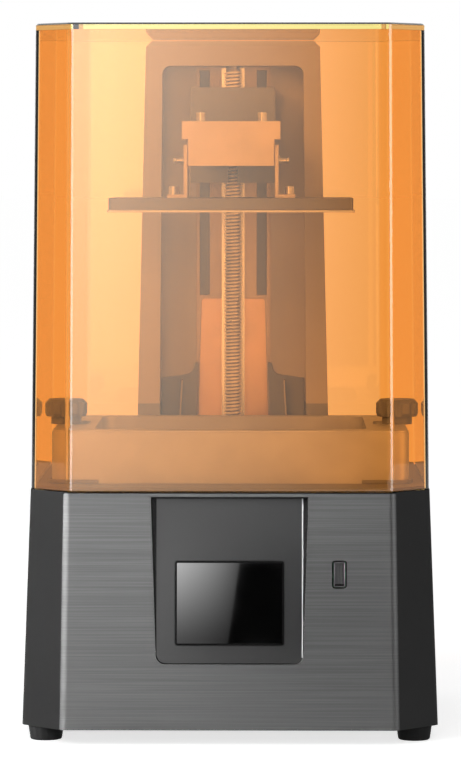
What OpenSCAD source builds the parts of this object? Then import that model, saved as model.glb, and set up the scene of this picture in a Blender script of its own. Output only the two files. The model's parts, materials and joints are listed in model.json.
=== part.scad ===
// Desktop resin printer. An octagonal base with a brushed front panel and a recessed
// touch console carries a metal resin vat over its screen. A screw-driven platform
// runs on a rail in the column at the back, and a tinted cover lifts off over it all.
// Front faces -Y, up is +Z, and the origin is the middle of the plane the feet rest on.

/* [Base] */
// Width and depth of the base at its bottom edge
base_w = 226.8; // [220:0.2:234]
// How far each wall leans inwards by the top of the base
base_lean = 4.8; // [3:0.2:6]
// Level of the base's top edge above the table
base_top = 136.5; // [134:0.5:140]
// Corner chamfer at the bottom edge
base_chamfer = 23; // [20:0.5:25]
// Corner chamfer at the top edge
base_chamfer_top = 20.3; // [18:0.1:23]
// Thickness of the housing walls
wall = 3; // [2.5:0.5:4]
// Thickness of the brushed front sheet
sheet = 1.5; // [1:0.5:2]
// Radius of the housing's upright edges
edge_r = 6; // [3:1:8]
// Height of the rubber feet
foot_h = 8; // [6:1:10]

/* [Console] */
// Width of the console recess at its top edge
console_w = 85.2; // [82:0.2:90]
// Width of the flat console face
console_face_w = 79; // [76:1:80]
// Level of the console's bottom edge
console_bottom = 43.7; // [42:0.1:46]
// Level of the console's top edge
console_top = 134.1; // [132:0.1:134.4]
// Depth of the recess at its top edge
console_depth = 5.5; // [4:0.5:7]
// Visible width of the touch glass
glass_w = 58.8; // [56:0.2:60]
// Visible height of the touch glass
glass_h = 45.4; // [44:0.2:46]
// Level of the middle of the touch glass
glass_level = 76.7; // [74:0.1:78]
// Sideways place of the USB socket
usb_x = 59.2; // [57:0.1:70]
// Level of the middle of the USB socket
usb_level = 92.3; // [80:0.1:100]

/* [Cover] */
// Width of the tinted cover at its bottom edge
cover_w = 216.6; // [216:0.2:217]
// How far each wall of the cover leans inwards by its top
cover_lean = 3; // [2:0.1:3.4]
// Level of the cover's top face
cover_top = 389; // [388.5:0.5:400]
// Thickness of the cover's walls
cover_wall = 2.8; // [2:0.1:3]
// Thickness of the cover's top plate
cover_plate = 3.6; // [3:0.1:3.8]
// Radius of the cover's upright edges
cover_edge_r = 6; // [3:1:8]

/* [Vat] */
// Outer width of the resin vat
vat_w = 194; // [190:1:196]
// Outer depth of the resin vat
vat_d = 136; // [130:1:137]
// Level of the vat's rim
vat_rim = 167.6; // [164:0.1:168]
// How far the vat's middle lies in front of the base's middle
vat_forward = 6; // [5:0.5:8]
// Diameter of a thumb screw's head
knob_d = 23; // [20:0.5:24]

/* [Platform] */
// Width of the build plate
plate_w = 137; // [132:1:140]
// Depth of the build plate
plate_d = 84; // [80:1:88]
// Thickness of the build plate
plate_t = 7.9; // [7:0.1:8]
// Level of the build plate's lower face as it is shown
plate_level = 286.5; // [284:0.5:286.5]
// Diameter of the lead screw
screw_d = 10; // [8:1:10]

/* [Column] */
// Width of the column at the deck
column_w = 112.4; // [108:0.2:116]
// Width of the column at its top
column_top_w = 101; // [96:0.5:104]
// Level of the column's top
column_top = 384.7; // [382:0.1:384.8]

/* [Hidden] */

$fn = 48;
slack = 0.1;          // clearance between neighbours that are pushed together
eps = 0.5;            // how far a cutting tool runs past the face that it opens
arc_steps = 6;        // flats on each rounded upright edge
wall_inset = 2 - sqrt(2); // share of a wall's thickness that its chamfer loses

base_half = base_w / 2;
base_half_top = base_half - base_lean;
lean = atan(base_lean / (base_top - foot_h));
deck_level = base_top + 2;
foot_place = [base_half - 13, base_half - 25.4];
post_out = base_half - 1.4; // distance of a corner post from the middle
face_tilt = atan(console_depth / (console_top - console_bottom - 0.8));

cover_half = cover_w / 2;
cover_chamfer = 20.8;
cover_chamfer_top = 19.1;

vat_y = -vat_forward;
cavity = [150, 112];
knob_x = 92.8;
knob_seat = vat_rim - 4.4;
film_level = deck_level + 1.8;
lcd = [140, 88, 3];
lcd_level = film_level - 0.3 - lcd.z;

column_front = 68;
column_back = 101;
column_wall = 2.5;
recess_top = 370.3;
recess_floor = 90;
slot_half = 21.8;
journal_r = 3;
rail = [13.4, 8];
rail_front = 84;
rail_pitch = 25;
rail_hole_level = deck_level + 12;
spine_front = rail_front + rail.y;
screw_y = 73;
coupler_r = 9.5;
coupler_level = 129;
coupler_h = 26;

plate_top = plate_level + plate_t;
holder = [48.6, 46, 24.8]; // lower block of the plate holder, up to its top face
holder_bottom = plate_level + 25.7;
holder_top = holder_bottom + holder.z;
holder_front = vat_y - 24;
holder_wing = [54.8, 10];
holder_relief = [0.45, 5]; // step beside each bracket's front edge
arm = [42, 12];
arm_bottom = holder_bottom + 7;
carriage_bottom = plate_level + 16;
carriage_h = 55.2;
carriage_w = 49;
carriage_front = 65;
slider = [27, 11, 35];
bracket_t = 2;
levelling = 2;        // how far the plate can be set up or down in the bracket slots
bracket_gap = 0.1;
flag_x = -17.6;
bolt_level = holder_bottom + 3;
bolt_y = [vat_y - 13, vat_y + 9];

fan_size = 60;
fan_x = 52;
fan_level = 64;       // along the rear wall, from the bottom edge
grille_r = 28.5;
rear_screw_levels = [34, 118];
switch_x = -60;
switch_level = 92;
jack_level = 64;

dark = [0.2, 0.2, 0.22];
steel = [0.45, 0.45, 0.47];
bright = [0.8, 0.8, 0.82];
black = [0.08, 0.08, 0.09];
tint = [1, 0.5, 0.1, 0.45];

// ---- outlines and placing ----

function turned(p, t) = [p.x * cos(t) - p.y * sin(t), p.x * sin(t) + p.y * cos(t)];

// Square outline of half width a with corner chamfers c and edges rounded by r
function octagon(a, c, r) = [
  for (k = [0:7])
    let (
      corner = turned(k % 2 == 0 ? [a - c, -a] : [a, c - a], 90 * floor(k / 2)),
      middle = 45 * k - 67.5,
      centre = corner - r / cos(22.5) * [cos(middle), sin(middle)]
    )
    for (j = [0:arc_steps])
      let (t = middle - 22.5 + 45 * j / arc_steps)
      centre + r * [cos(t), sin(t)]
];

// Straight-walled solid between two outlines with the same number of points
module loft(lower, upper, z0, z1) {
  n = len(lower);
  polyhedron(
    points = concat([for (p = lower) [p.x, p.y, z0]], [for (p = upper) [p.x, p.y, z1]]),
    faces = concat(
      [[for (i = [0:n - 1]) i]],
      [[for (i = [0:n - 1]) 2 * n - 1 - i]],
      [for (i = [0:n - 1]) [i, n + i, n + (i + 1) % n]],
      [for (i = [0:n - 1]) [i, n + (i + 1) % n, (i + 1) % n]]
    )
  );
}

// The base's outline at a share of its height, drawn in by t
function base_outline(t, share) = octagon(
  base_half - base_lean * share - t,
  base_chamfer + (base_chamfer_top - base_chamfer) * share - wall_inset * t,
  max(edge_r - t, 1)
);

// The base's outer form, drawn in by t and running on past both ends by over
module base_form(t = 0, over = 0) {
  extra = over / (base_top - foot_h);
  loft(base_outline(t, -extra), base_outline(t, 1 + extra), foot_h - over, base_top + over);
}

// The cover's outer form, drawn in by t, from the base's top to a level
module cover_form(t, z0, z1) {
  r = max(cover_edge_r - t, 1);
  loft(
    octagon(cover_half - t, cover_chamfer - wall_inset * t, r),
    octagon(cover_half - cover_lean - t, cover_chamfer_top - wall_inset * t, r),
    z0, z1
  );
}

// Flat octagonal slab that follows the base's top edge, drawn in by t
module deck_form(t, z0, z1) {
  translate([0, 0, z0]) linear_extrude(z1 - z0) polygon(base_outline(t, 1));
}

// Stands children on the leaning front wall: x sideways, z up the wall, +y inwards
module on_front() {
  translate([0, -base_half, foot_h]) rotate([-lean, 0, 0]) children();
}

// The same on the rear wall, with x still to the right as seen from the front
module on_rear() {
  rotate([0, 0, 180]) on_front() mirror([1, 0, 0]) children();
}

// Extrudes an outline drawn in x and z from depth y0 to y1
module upright(y0, y1) {
  translate([0, y1, 0]) rotate([90, 0, 0]) linear_extrude(y1 - y0) children();
}

// Extrudes an outline drawn in y and z from x0 to x1
module sideways(x0, x1) {
  translate([x0, 0, 0]) rotate([90, 0, 90]) linear_extrude(x1 - x0) children();
}

// Rectangle with rounded corners, centred
module rounded(w, h, r) {
  square([w, h - 2 * r], center = true);
  square([w - 2 * r, h], center = true);
  for (x = [-1, 1], y = [-1, 1]) translate([x * (w / 2 - r), y * (h / 2 - r)]) circle(r);
}

// Cylinder along y from y0 to y1
module peg(r, y0, y1) {
  translate([0, y0, 0]) rotate([-90, 0, 0]) cylinder(r = r, h = y1 - y0);
}

// Copies children to both sides of the middle
module both_sides() {
  children();
  mirror([1, 0, 0]) children();
}

// Socket cap screw pointing down from z = 0, with its head above
module cap_screw(head_r, head_h, shank_r, shank_l) {
  difference() {
    union() {
      cylinder(r = head_r, h = head_h);
      translate([0, 0, -shank_l]) cylinder(r = shank_r, h = shank_l + eps);
    }
    translate([0, 0, head_h * 0.45]) cylinder(r = head_r * 0.5, h = head_h, $fn = 6);
  }
}

// ---- base housing ----

// Outline of the console's opening in the front sheet
module console_outline(grow = 0) {
  z0 = console_bottom - foot_h;
  z1 = console_top - foot_h;
  r = 5;
  half = console_w / 2 + grow;
  low = console_face_w / 2 + 0.4 + grow;
  translate([0, z0 - grow]) {
    polygon([[-low, r], [low, r], [half, z1 - z0 + 2 * grow], [-half, z1 - z0 + 2 * grow]]);
    translate([-low + r, 0]) square([2 * (low - r), r + eps]);
    for (x = [-1, 1]) translate([x * (low - r), r]) circle(r);
  }
}

// The space in front of the housing that the front sheet fills, folded round both edges
module front_zone() {
  half = base_half - base_chamfer + 1.4;
  half_top = base_half_top - base_chamfer_top + 1.4;
  far = -base_half - 5;
  near = -base_half / 2;
  difference() {
    loft(
      [[-half, far], [half, far], [half, near], [-half, near]],
      [[-half_top, far], [half_top, far], [half_top, near], [-half_top, near]],
      foot_h - 1, base_top + 1
    );
    base_form(sheet, 3);
  }
}

module usb_outline(grow = 0) {
  translate([usb_x, usb_level - foot_h]) rounded(7 + 2 * grow, 14 + 2 * grow, 1.2);
}

// Louvre slots low in one side wall
module side_vents() {
  for (y = [-44:8:44])
    translate([base_half - 12, y, 36]) rotate([90, 0, 90]) linear_extrude(20) rounded(3, 24, 1.45);
}

module corner_post() {
  rotate([0, 0, 45]) translate([post_out, 0, foot_h + 1.6]) {
    cylinder(r = 5, h = base_top - foot_h - 9);
    translate([0, -1.5, 0]) cube([40, 3, base_top - foot_h - 9]);
  }
}

module base_shell() {
  color(dark) difference() {
    union() {
      difference() {
        base_form();
        base_form(wall, 1);
      }
      difference() {
        deck_form(wall - 0.5, base_top - 5, base_top - 2);
        deck_form(wall + 6, base_top - 6, base_top - 1);
      }
      intersection() {
        base_form(0.5);
        for (i = [0:3]) rotate([0, 0, 90 * i]) corner_post();
      }
    }
    front_zone();
    on_front() {
      upright(-1, 12) console_outline(-0.6);
      upright(-1, 8) usb_outline();
    }
    on_rear() {
      translate([fan_x, 0, fan_level]) peg(grille_r + slack, -5, 5);
      translate([switch_x, 0, switch_level]) upright(-5, 5) rounded(13.2, 19.4, 1);
      translate([switch_x, 0, jack_level]) peg(5.6, -5, 5);
      for (x = [-1, 1], z = [-1, 1])
        translate([fan_x + 25 * x, 0, fan_level + 25 * z]) peg(1.7, -5, 5);
      for (x = [-82, 82], z = rear_screw_levels) translate([x, 0, z]) peg(1.5, -5, 5);
    }
    both_sides() side_vents();
    for (i = [0:3]) rotate([0, 0, 45 + 90 * i]) translate([post_out, 0, 0])
      cylinder(r = 1.6, h = 30);
  }
}

module base_plate() {
  color(steel) difference() {
    translate([0, 0, foot_h]) linear_extrude(1.5) polygon(base_outline(wall + slack, 0.02));
    for (y = [-24:6:24])
      translate([0, y + vat_y, 0]) linear_extrude(20) rounded(2 * sqrt(729 - y * y), 3, 1.45);
    for (x = [-1, 1], y = [-1, 1])
      translate([x * foot_place.x, y * foot_place.y, 0]) cylinder(r = 2.1, h = 20);
    for (i = [0:3]) rotate([0, 0, 45 + 90 * i]) translate([post_out, 0, 0])
      cylinder(r = 1.6, h = 20);
  }
}

// A rubber foot is a shallow cone with moulded rings and a screw pocket
module rubber_feet() {
  ribs = 5;
  step = (foot_h - 1.5) / ribs;
  color(black) for (x = [-1, 1], y = [-1, 1])
    translate([x * foot_place.x, y * foot_place.y, 0]) difference() {
      rotate_extrude() polygon(concat(
        [[0, 0], [8.2, 0], [8.7, 0.6]],
        [for (i = [0:ribs - 1]) each [
          [8.7 + 0.18 * i, 0.9 + step * i],
          [8.9 + 0.18 * i, 0.9 + step * (i + 0.5)]
        ]],
        [[9.6, foot_h], [0, foot_h]]
      ));
      translate([0, 0, -eps]) cylinder(r = 4.2, h = 4 + eps);
      cylinder(r = 2, h = foot_h + eps);
    }
}

module base_screws() {
  color(bright) {
    for (x = [-1, 1], y = [-1, 1])
      translate([x * foot_place.x, y * foot_place.y, 4]) rotate([180, 0, 0])
        cap_screw(3.5, 2.2, 1.9, 8);
    for (i = [0:3]) rotate([0, 0, 45 + 90 * i]) translate([post_out, 0, foot_h])
      rotate([180, 0, 0]) cap_screw(2.9, 1.6, 1.5, 12);
  }
}

module front_panel() {
  color(steel) difference() {
    intersection() {
      base_form();
      front_zone();
    }
    on_front() {
      upright(-2, 8) console_outline();
      upright(-2, 8) usb_outline();
    }
  }
}

// ---- console ----

// Stands children on the tilted console face
module on_console() {
  on_front() translate([0, 0, console_bottom - foot_h]) rotate([-face_tilt, 0, 0]) children();
}

// The wedge of air in front of the console face, wider at the front
module console_wedge() {
  bottom = console_bottom - foot_h;
  top = console_top - foot_h - 0.8;
  face = console_face_w / 2;
  on_front() hull() polyhedron(
    points = [
      [-face, 0, bottom], [face, 0, bottom], [-face, -1, bottom], [face, -1, bottom],
      [-face, console_depth, top], [face, console_depth, top],
      [-console_w / 2 + 0.6, 0, top], [console_w / 2 - 0.6, 0, top],
      [-console_w / 2 + 0.6, -1, top], [console_w / 2 - 0.6, -1, top]
    ],
    faces = [
      [0, 1, 3, 2], [0, 4, 5, 1], [4, 6, 7, 5], [6, 8, 9, 7], [2, 3, 9, 8],
      [0, 2, 8, 6, 4], [1, 5, 7, 9, 3]
    ]
  );
}

// Tray behind the front sheet: a frame in the opening, a flange inside the housing, and
// the tilted face with its window
module console_bezel() {
  color(dark) difference() {
    union() {
      on_front() upright(0, sheet - slack) console_outline(-slack);
      on_front() upright(sheet - eps, 9) console_outline(-0.6 - slack);
      intersection() {
        on_front() upright(wall + slack, 9) console_outline(3);
        cube([300, 300, 2 * base_top - 14], center = true);
      }
    }
    console_wedge();
    on_console() translate([0, 0, glass_level - console_bottom]) {
      upright(-2, 2) rounded(glass_w + 0.6, glass_h + 0.6, 1.6);
      upright(-2, 20) rounded(glass_w - 2.4, glass_h - 2.4, 1);
    }
  }
}

module touch_glass() {
  color(black) on_console() translate([0, 0, glass_level - console_bottom])
    upright(-0.2, 1.9) rounded(glass_w, glass_h, 1.4);
}

module display_module() {
  color(bright) on_console() translate([0, 0, glass_level - console_bottom]) {
    upright(2, 4.6) rounded(glass_w - 3, glass_h - 3, 0.8);
    difference() {
      upright(9.3, 10.9) rounded(84, 58, 2);
      for (x = [-1, 1], z = [-1, 1]) translate([38 * x, 0, 25 * z]) peg(1.6, 9, 12);
    }
    upright(4.5, 9.4) rounded(40, 20, 1);
  }
}

module usb_shell() {
  color(bright) on_front() translate([usb_x, 0, usb_level - foot_h]) difference() {
    upright(0.5, 15) rounded(5.8, 13.2, 0.7);
    upright(0, 14) rounded(5.1, 12.5, 0.4);
  }
}

module usb_tongue() {
  color(black) on_front() translate([usb_x + 0.9, 0, usb_level - foot_h])
    upright(4.8, 14) square([1.9, 11], center = true);
}

module usb_board() {
  color("darkgreen") on_front() translate([usb_x, 0, usb_level - foot_h])
    upright(15, 16.6) rounded(18, 26, 1);
}

// ---- deck, screen and light ----

module deck_plate() {
  color(dark) difference() {
    union() {
      deck_form(wall + 0.2, base_top - 2, base_top);
      deck_form(cover_wall + 0.9, base_top - 1, deck_level);
      both_sides() translate([knob_x, vat_y, base_top - 14]) cylinder(r = 6, h = 14);
    }
    translate([0, vat_y, lcd_level]) linear_extrude(10) rounded(lcd.x + 0.4, lcd.y + 0.4, 1);
    translate([0, vat_y, 100]) linear_extrude(60) rounded(lcd.x - 8, lcd.y - 6, 1);
    translate([0, screw_y, 100]) cylinder(r = 11.2, h = 60);
    both_sides() translate([knob_x, vat_y, base_top - 10]) cylinder(r = 2.6, h = 20);
    for (x = [-46, 46]) translate([x, 84.5, 100]) cylinder(r = 2.2, h = 60);
  }
}

module mask_lcd() {
  color(black) translate([0, vat_y, lcd_level]) {
    linear_extrude(lcd.z) rounded(lcd.x, lcd.y, 0.8);
  }
}

// Funnel that carries the light from the array up to the screen
module light_hood() {
  z0 = 62;
  z1 = base_top - 4;
  module funnel(grow, low, high) {
    loft(
      [[-34 - grow, -34 - grow], [34 + grow, -34 - grow], [34 + grow, 34 + grow], [-34 - grow, 34 + grow]],
      [[-68 - grow, -42 - grow], [68 + grow, -42 - grow], [68 + grow, 42 + grow], [-68 - grow, 42 + grow]],
      low, high
    );
  }
  color(black) translate([0, vat_y, 0]) difference() {
    funnel(2, z0, z1);
    funnel(0, z0 - 0.01, z1 + 0.01);
  }
}

module led_board() {
  color("white") translate([0, vat_y, 0]) {
    translate([0, 0, 60.2]) linear_extrude(1.6) rounded(72, 72, 3);
    for (x = [-24:12:24], y = [-24:12:24])
      translate([x, y, 61.6]) cylinder(r1 = 3, r2 = 2.2, h = 2.4, $fn = 16);
  }
}

module heat_sink() {
  fins = 11;
  color(bright) translate([0, vat_y, 0]) {
    translate([-36, -36, 55]) cube([72, 72, 5]);
    for (i = [0:fins - 1])
      translate([-36 + i * 70.4 / (fins - 1), -36, 30.2]) cube([1.6, 72, 25]);
  }
}

// Square fan housing with a round duct and a three-armed motor seat, from z = 0 up
module fan_housing(size, depth) {
  duct = size / 2 - 1.5;
  linear_extrude(depth) difference() {
    rounded(size, size, 4);
    circle(duct);
    for (x = [-1, 1], y = [-1, 1]) translate([25 * x, 25 * y]) circle(1.8);
  }
  translate([0, 0, 0.5]) linear_extrude(1.8) {
    circle(15);
    for (i = [0:2]) rotate(120 * i + 15) translate([13, -1.5]) square([duct - 12.4, 3]);
  }
}

// Seven pitched blades round a hub, from z = 0 up
module fan_wheel(size, depth) {
  cylinder(r = 14.5, h = depth);
  intersection() {
    cylinder(r = size / 2 - 2.6, h = depth);
    for (i = [0:6]) rotate([0, 0, i * 360 / 7]) translate([12, 0, depth / 2])
      rotate([52, 0, 0]) translate([0, -8, -0.6]) cube([20, 16, 1.2]);
  }
}

module led_fan_frame() {
  color(black) translate([0, vat_y, 14]) fan_housing(fan_size, 15);
}

module led_fan_rotor() {
  color(dark) translate([0, vat_y, 17]) fan_wheel(fan_size, 11);
}

module mainboard() {
  color("darkgreen") translate([-99, -58, 0]) {
    translate([0, 0, 17]) cube([56, 112, 1.6]);
    for (x = [4, 52], y = [4, 108])
      translate([x, y, foot_h + 1.5]) cylinder(r = 2.6, h = 17 - foot_h - 1.4);
    for (y = [14:22:80]) translate([6, y, 18.5]) cube([9, 14, 9]);
    translate([24, 40, 18.5]) cube([22, 22, 6]);
    for (y = [14, 26]) translate([30, y, 18.5]) cylinder(r = 4, h = 11);
  }
}

// ---- back ----

module fan_frame() {
  color(black) on_rear() translate([fan_x, wall + slack, fan_level]) rotate([-90, 0, 0])
    fan_housing(fan_size, 15);
}

module fan_rotor() {
  color(dark) on_rear() translate([fan_x, wall + 3, fan_level]) rotate([-90, 0, 0])
    fan_wheel(fan_size, 11);
}

// Moulded grille, flush in the rear wall: slotted rings held by four bars
module fan_guard() {
  pitch = 4.6;
  color(black) on_rear() translate([fan_x, 0, fan_level]) difference() {
    peg(grille_r, 0, 2);
    upright(-1, 3) difference() {
      for (r = [6:pitch:grille_r - 4]) difference() {
        circle(r + pitch - 1.8);
        circle(r);
      }
      for (t = [45, 135]) rotate(t) square([3, 2 * grille_r], center = true);
    }
  }
}

module rear_screws() {
  color(black) on_rear() {
    for (x = [-1, 1], z = [-1, 1])
      translate([fan_x + 25 * x, 0, fan_level + 25 * z]) rotate([90, 0, 0])
        cap_screw(2.8, 1, 1.5, 12);
    for (x = [-82, 82], z = rear_screw_levels)
      translate([x, 0, z]) rotate([90, 0, 0]) cap_screw(2.9, 1, 1.45, 2.4);
  }
}

module rocker_bezel() {
  color(black) on_rear() translate([switch_x, 0, switch_level]) difference() {
    union() {
      upright(-1.6, 0) rounded(15, 21, 1.5);
      upright(0, 13) rounded(13, 19.2, 1);
    }
    upright(-3, 9) rounded(9.4, 16.6, 0.6);
    translate([-6.6, 4, 0]) rotate([0, 90, 0]) cylinder(r = 1.3, h = 13.2);
  }
}

// A shallow V that rocks on a pin across the bezel
module power_rocker() {
  half = 7.3;
  color([0.12, 0.12, 0.13]) on_rear() translate([switch_x, 4, switch_level]) rotate([7, 0, 0]) {
    sideways(-4.4, 4.4) polygon([
      [-5.6, -half], [-4.4, 0], [-5.6, half], [-3.2, half], [2.5, 2.4], [2.5, -2.4], [-3.2, -half]
    ]);
    translate([-6.3, 0, 0]) rotate([0, 90, 0]) cylinder(r = 1.22, h = 12.6);
  }
}

module power_jack() {
  color(black) on_rear() translate([switch_x, 0, jack_level]) {
    difference() {
      union() {
        peg(7.4, -1.8, 0);
        peg(5.5, -1.8, 14);
        translate([0, wall + slack, 0]) rotate([-90, 0, 0])
          cylinder(r = 8.2, h = 2.6, $fn = 6);
      }
      peg(3.2, -3, 10);
    }
    peg(1.1, 0, 11);
  }
}

// ---- column and drive ----

// The column seen from the front: straight leaning sides and cut top corners
module column_outline(t) {
  corner = 3.4;
  low = column_w / 2 - t;
  high = column_top_w / 2 - t;
  top = column_top - t;
  polygon([
    [-low, deck_level], [low, deck_level], [high, top - corner], [high - corner, top],
    [corner - high, top], [-high, top - corner]
  ]);
}

module recess_outline(t) {
  r = 5;
  high = 41 + t;
  low = 43 + t;
  top = recess_top + t;
  polygon([[-low, deck_level - 1], [low, deck_level - 1], [high, top - r], [-high, top - r]]);
  translate([-high + r, top - 2 * r]) square([2 * (high - r), 2 * r]);
  for (x = [-1, 1]) translate([x * (high - r), top - r]) circle(r);
}

module column_cover() {
  floor_back = recess_floor + 2;
  color(dark) difference() {
    union() {
      difference() {
        upright(column_front, column_back) column_outline(0);
        difference() {
          upright(column_front + column_wall, column_back - column_wall)
            column_outline(column_wall);
          translate([-100, 0, 0]) cube([200, 200, deck_level + 4]);
        }
      }
      intersection() {
        upright(column_front, floor_back) column_outline(0);
        upright(column_front, floor_back) recess_outline(2);
      }
    }
    upright(column_front - 5, recess_floor) recess_outline(0);
    // open slot behind the rail, and room for the spine above and below it
    translate([-slot_half, 0, deck_level - 1])
      cube([2 * slot_half, floor_back + eps, recess_top - deck_level + 0.7]);
    translate([-24.2, spine_front - slack, deck_level - 1])
      cube([48.4, 6.2, recess_top - deck_level + 8]);
    translate([0, screw_y, recess_top - 10]) cylinder(r = journal_r + 1, h = 20);
    // bevel along the front of the top
    translate([0, column_front, column_top]) rotate([45, 0, 0])
      cube([200, 4.5, 4.5], center = true);
    for (x = [-46, 46]) translate([x, 84.5, deck_level - 1]) cylinder(r = 1.7, h = 9);
  }
}

module column_spine() {
  h = recess_top + 6 - deck_level;
  color(dark) translate([0, 0, deck_level]) difference() {
    translate([-24, spine_front, 0]) cube([48, 6, h]);
    both_sides() translate([13.8, spine_front - eps, 98]) cube([5.8, 1.6 + eps, h - 106]);
    translate([0, 0, -deck_level]) upright(spine_front - eps, spine_front + 1.2) stand_outline();
  }
}

module stand_outline() {
  top = 234.4;
  polygon([[-21.3, deck_level], [21.3, deck_level], [18.6, top - 1.8], [-18.6, top - 1.8]]);
  translate([-16.8, top - 5]) square([33.6, 5]);
  for (x = [-1, 1]) translate([16.8 * x, top - 1.8]) circle(1.8);
}

// Bright tapered plate let into the foot of the spine, behind the rail
module stand_plate() {
  color(bright) difference() {
    upright(spine_front, spine_front + 1.2) stand_outline();
    for (z = [rail_hole_level:rail_pitch:230]) translate([0, 0, z])
      peg(1.8, spine_front - 1, spine_front + 3);
  }
}

// Half of the bell-shaped bracket that ties the column to the deck
module foot_bracket() {
  color([0.25, 0.25, 0.27]) difference() {
    union() {
      upright(recess_floor - 2, recess_floor) polygon([
        [22, deck_level], [42, deck_level], [41.6, 188], [30, 189.5], [25.6, 190.4],
        [23.6, 192.4], [22.6, 197], [20.4, 197]
      ]);
      // leaning rib, seen edge-on from the front
      upright(recess_floor - 6, recess_floor) polygon([
        [32.2, deck_level], [33.2, deck_level], [30.4, 187], [29.4, 187]
      ]);
      translate([24, recess_floor - 16, deck_level]) cube([17, 16, 2]);
    }
    translate([37.5, recess_floor - 9, deck_level - 1]) cylinder(r = 1.8, h = 4);
  }
}

module foot_bracket_left() {
  mirror([1, 0, 0]) foot_bracket();
}

module foot_bracket_right() {
  foot_bracket();
}

// Fork sensor that the carriage's flag reaches at the bottom of its travel
module limit_sensor() {
  front = rail_front - 3.4;
  color(black) translate([flag_x, front, 152]) difference() {
    translate([-3.4, 0, 0]) cube([6.8, spine_front - front, 12]);
    translate([-1.6, -1, -1]) cube([3.2, 8.6, 14]);
  }
}

module linear_rail() {
  color(bright) difference() {
    translate([-rail.x / 2, rail_front, deck_level + 0.2])
      cube([rail.x, rail.y, recess_top - deck_level - 1]);
    both_sides() translate([rail.x / 2, rail_front + 3.6, 0]) rotate([0, 0, 45])
      translate([-0.9, -0.9, 100]) cube([1.8, 1.8, 300]);
    for (z = [rail_hole_level:rail_pitch:recess_top - 8]) translate([0, 0, z]) {
      peg(1.8, rail_front - 1, spine_front + 1);
      peg(3.1, rail_front - 1, rail_front + 3.4);
    }
  }
}

module rail_screws() {
  color(steel) for (z = [rail_hole_level:rail_pitch:recess_top - 8])
    translate([0, rail_front + 3.4, z]) rotate([90, 0, 0]) cap_screw(2.8, 2.8, 1.5, 4.5);
}

module top_bearing() {
  color(black) difference() {
    translate([-13, screw_y - 2.4, recess_top + 2.1]) cube([26, spine_front - screw_y + 2.3, 7]);
    translate([0, screw_y, recess_top]) cylinder(r = journal_r + 0.05, h = 20);
  }
}

module z_motor() {
  h = 40;
  top = coupler_level - 3.6;
  color(black) translate([0, screw_y, top - h]) difference() {
    union() {
      linear_extrude(h) intersection() {
        square(42.3, center = true);
        rotate([0, 0, 45]) square(54, center = true);
      }
      translate([0, 0, h - 0.01]) cylinder(r = 11, h = 2);
    }
    cylinder(r = 2.6, h = h + 5);
    for (x = [-1, 1], y = [-1, 1])
      translate([15.5 * x, 15.5 * y, h - 6]) cylinder(r = 1.5, h = 10);
  }
}

module screw_coupler() {
  color(bright) translate([0, screw_y, coupler_level]) difference() {
    cylinder(r = coupler_r, h = coupler_h);
    for (z = [6:3:18]) translate([0, 0, z]) difference() {
      cylinder(r = coupler_r + 1, h = 0.8);
      cylinder(r = coupler_r - 2.6, h = 0.8);
    }
    translate([0, 0, -1]) cylinder(r = 2.5, h = 15);
    translate([0, 0, 13]) cylinder(r = screw_d / 2, h = 20);
  }
}

// The screw, with its turned-down journal at the top
module lead_screw() {
  bottom = coupler_level + 13;
  color(bright) translate([0, screw_y, 0]) {
    translate([0, 0, bottom]) cylinder(r = screw_d / 2, h = recess_top - 0.5 - bottom);
    translate([0, 0, recess_top - 1]) cylinder(r = journal_r, h = 9);
  }
}

module motor_shaft() {
  color(steel) translate([0, screw_y, coupler_level - 40]) cylinder(r = 2.5, h = 52.5);
}

// ---- moving platform ----

module rail_slider() {
  color(bright) translate([0, rail_front - 5, carriage_bottom + 1.6]) difference() {
    translate([-slider.x / 2, 0, 0]) cube(slider);
    translate([-rail.x / 2 - 0.15, 4.85, -1]) cube([rail.x + 0.3, 10, slider.z + 2]);
  }
}

module carriage() {
  color([0.22, 0.22, 0.24]) difference() {
    union() {
      translate([-carriage_w / 2, carriage_front, carriage_bottom])
        cube([carriage_w, rail_front - 5 - carriage_front, carriage_h]);
      translate([-carriage_w / 2, carriage_front, carriage_bottom + 38])
        cube([carriage_w, rail_front - 1.5 - carriage_front, carriage_h - 38]);
      // narrow ledge on each side of the screw
      both_sides() translate([5.2, carriage_front - 0.8, holder_bottom - 1.8]) cube([10.2, 2, 0.8]);
    }
    translate([0, screw_y, carriage_bottom - 1]) cylinder(r = screw_d / 2 + 0.6, h = 80);
    translate([-2.5, carriage_front - 1, carriage_bottom - 1]) cube([5, 9, 11]);
    translate([0, screw_y, carriage_bottom + 39]) cylinder(r = 7.6, h = 80);
    translate([-8.5, carriage_front + 1, carriage_bottom + carriage_h - 4]) cube([17, 16, 5]);
    for (x = [-17, 17], z = [16, 26]) translate([x, 0, carriage_bottom + z])
      peg(2.1, carriage_front - 1, carriage_front + 30);
  }
}

module screw_nut() {
  color("gold") translate([0, screw_y, carriage_bottom + 39.2]) difference() {
    union() {
      cylinder(r = 7.5, h = carriage_h - 43.1);
      intersection() {
        translate([0, 0, carriage_h - 43.2]) cylinder(r = 11, h = 3.8);
        translate([-8.4, -6.9, 0]) cube([16.8, 15.4, 30]);
      }
    }
    translate([0, 0, -1]) cylinder(r = screw_d / 2 + 0.05, h = 40);
  }
}

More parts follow.
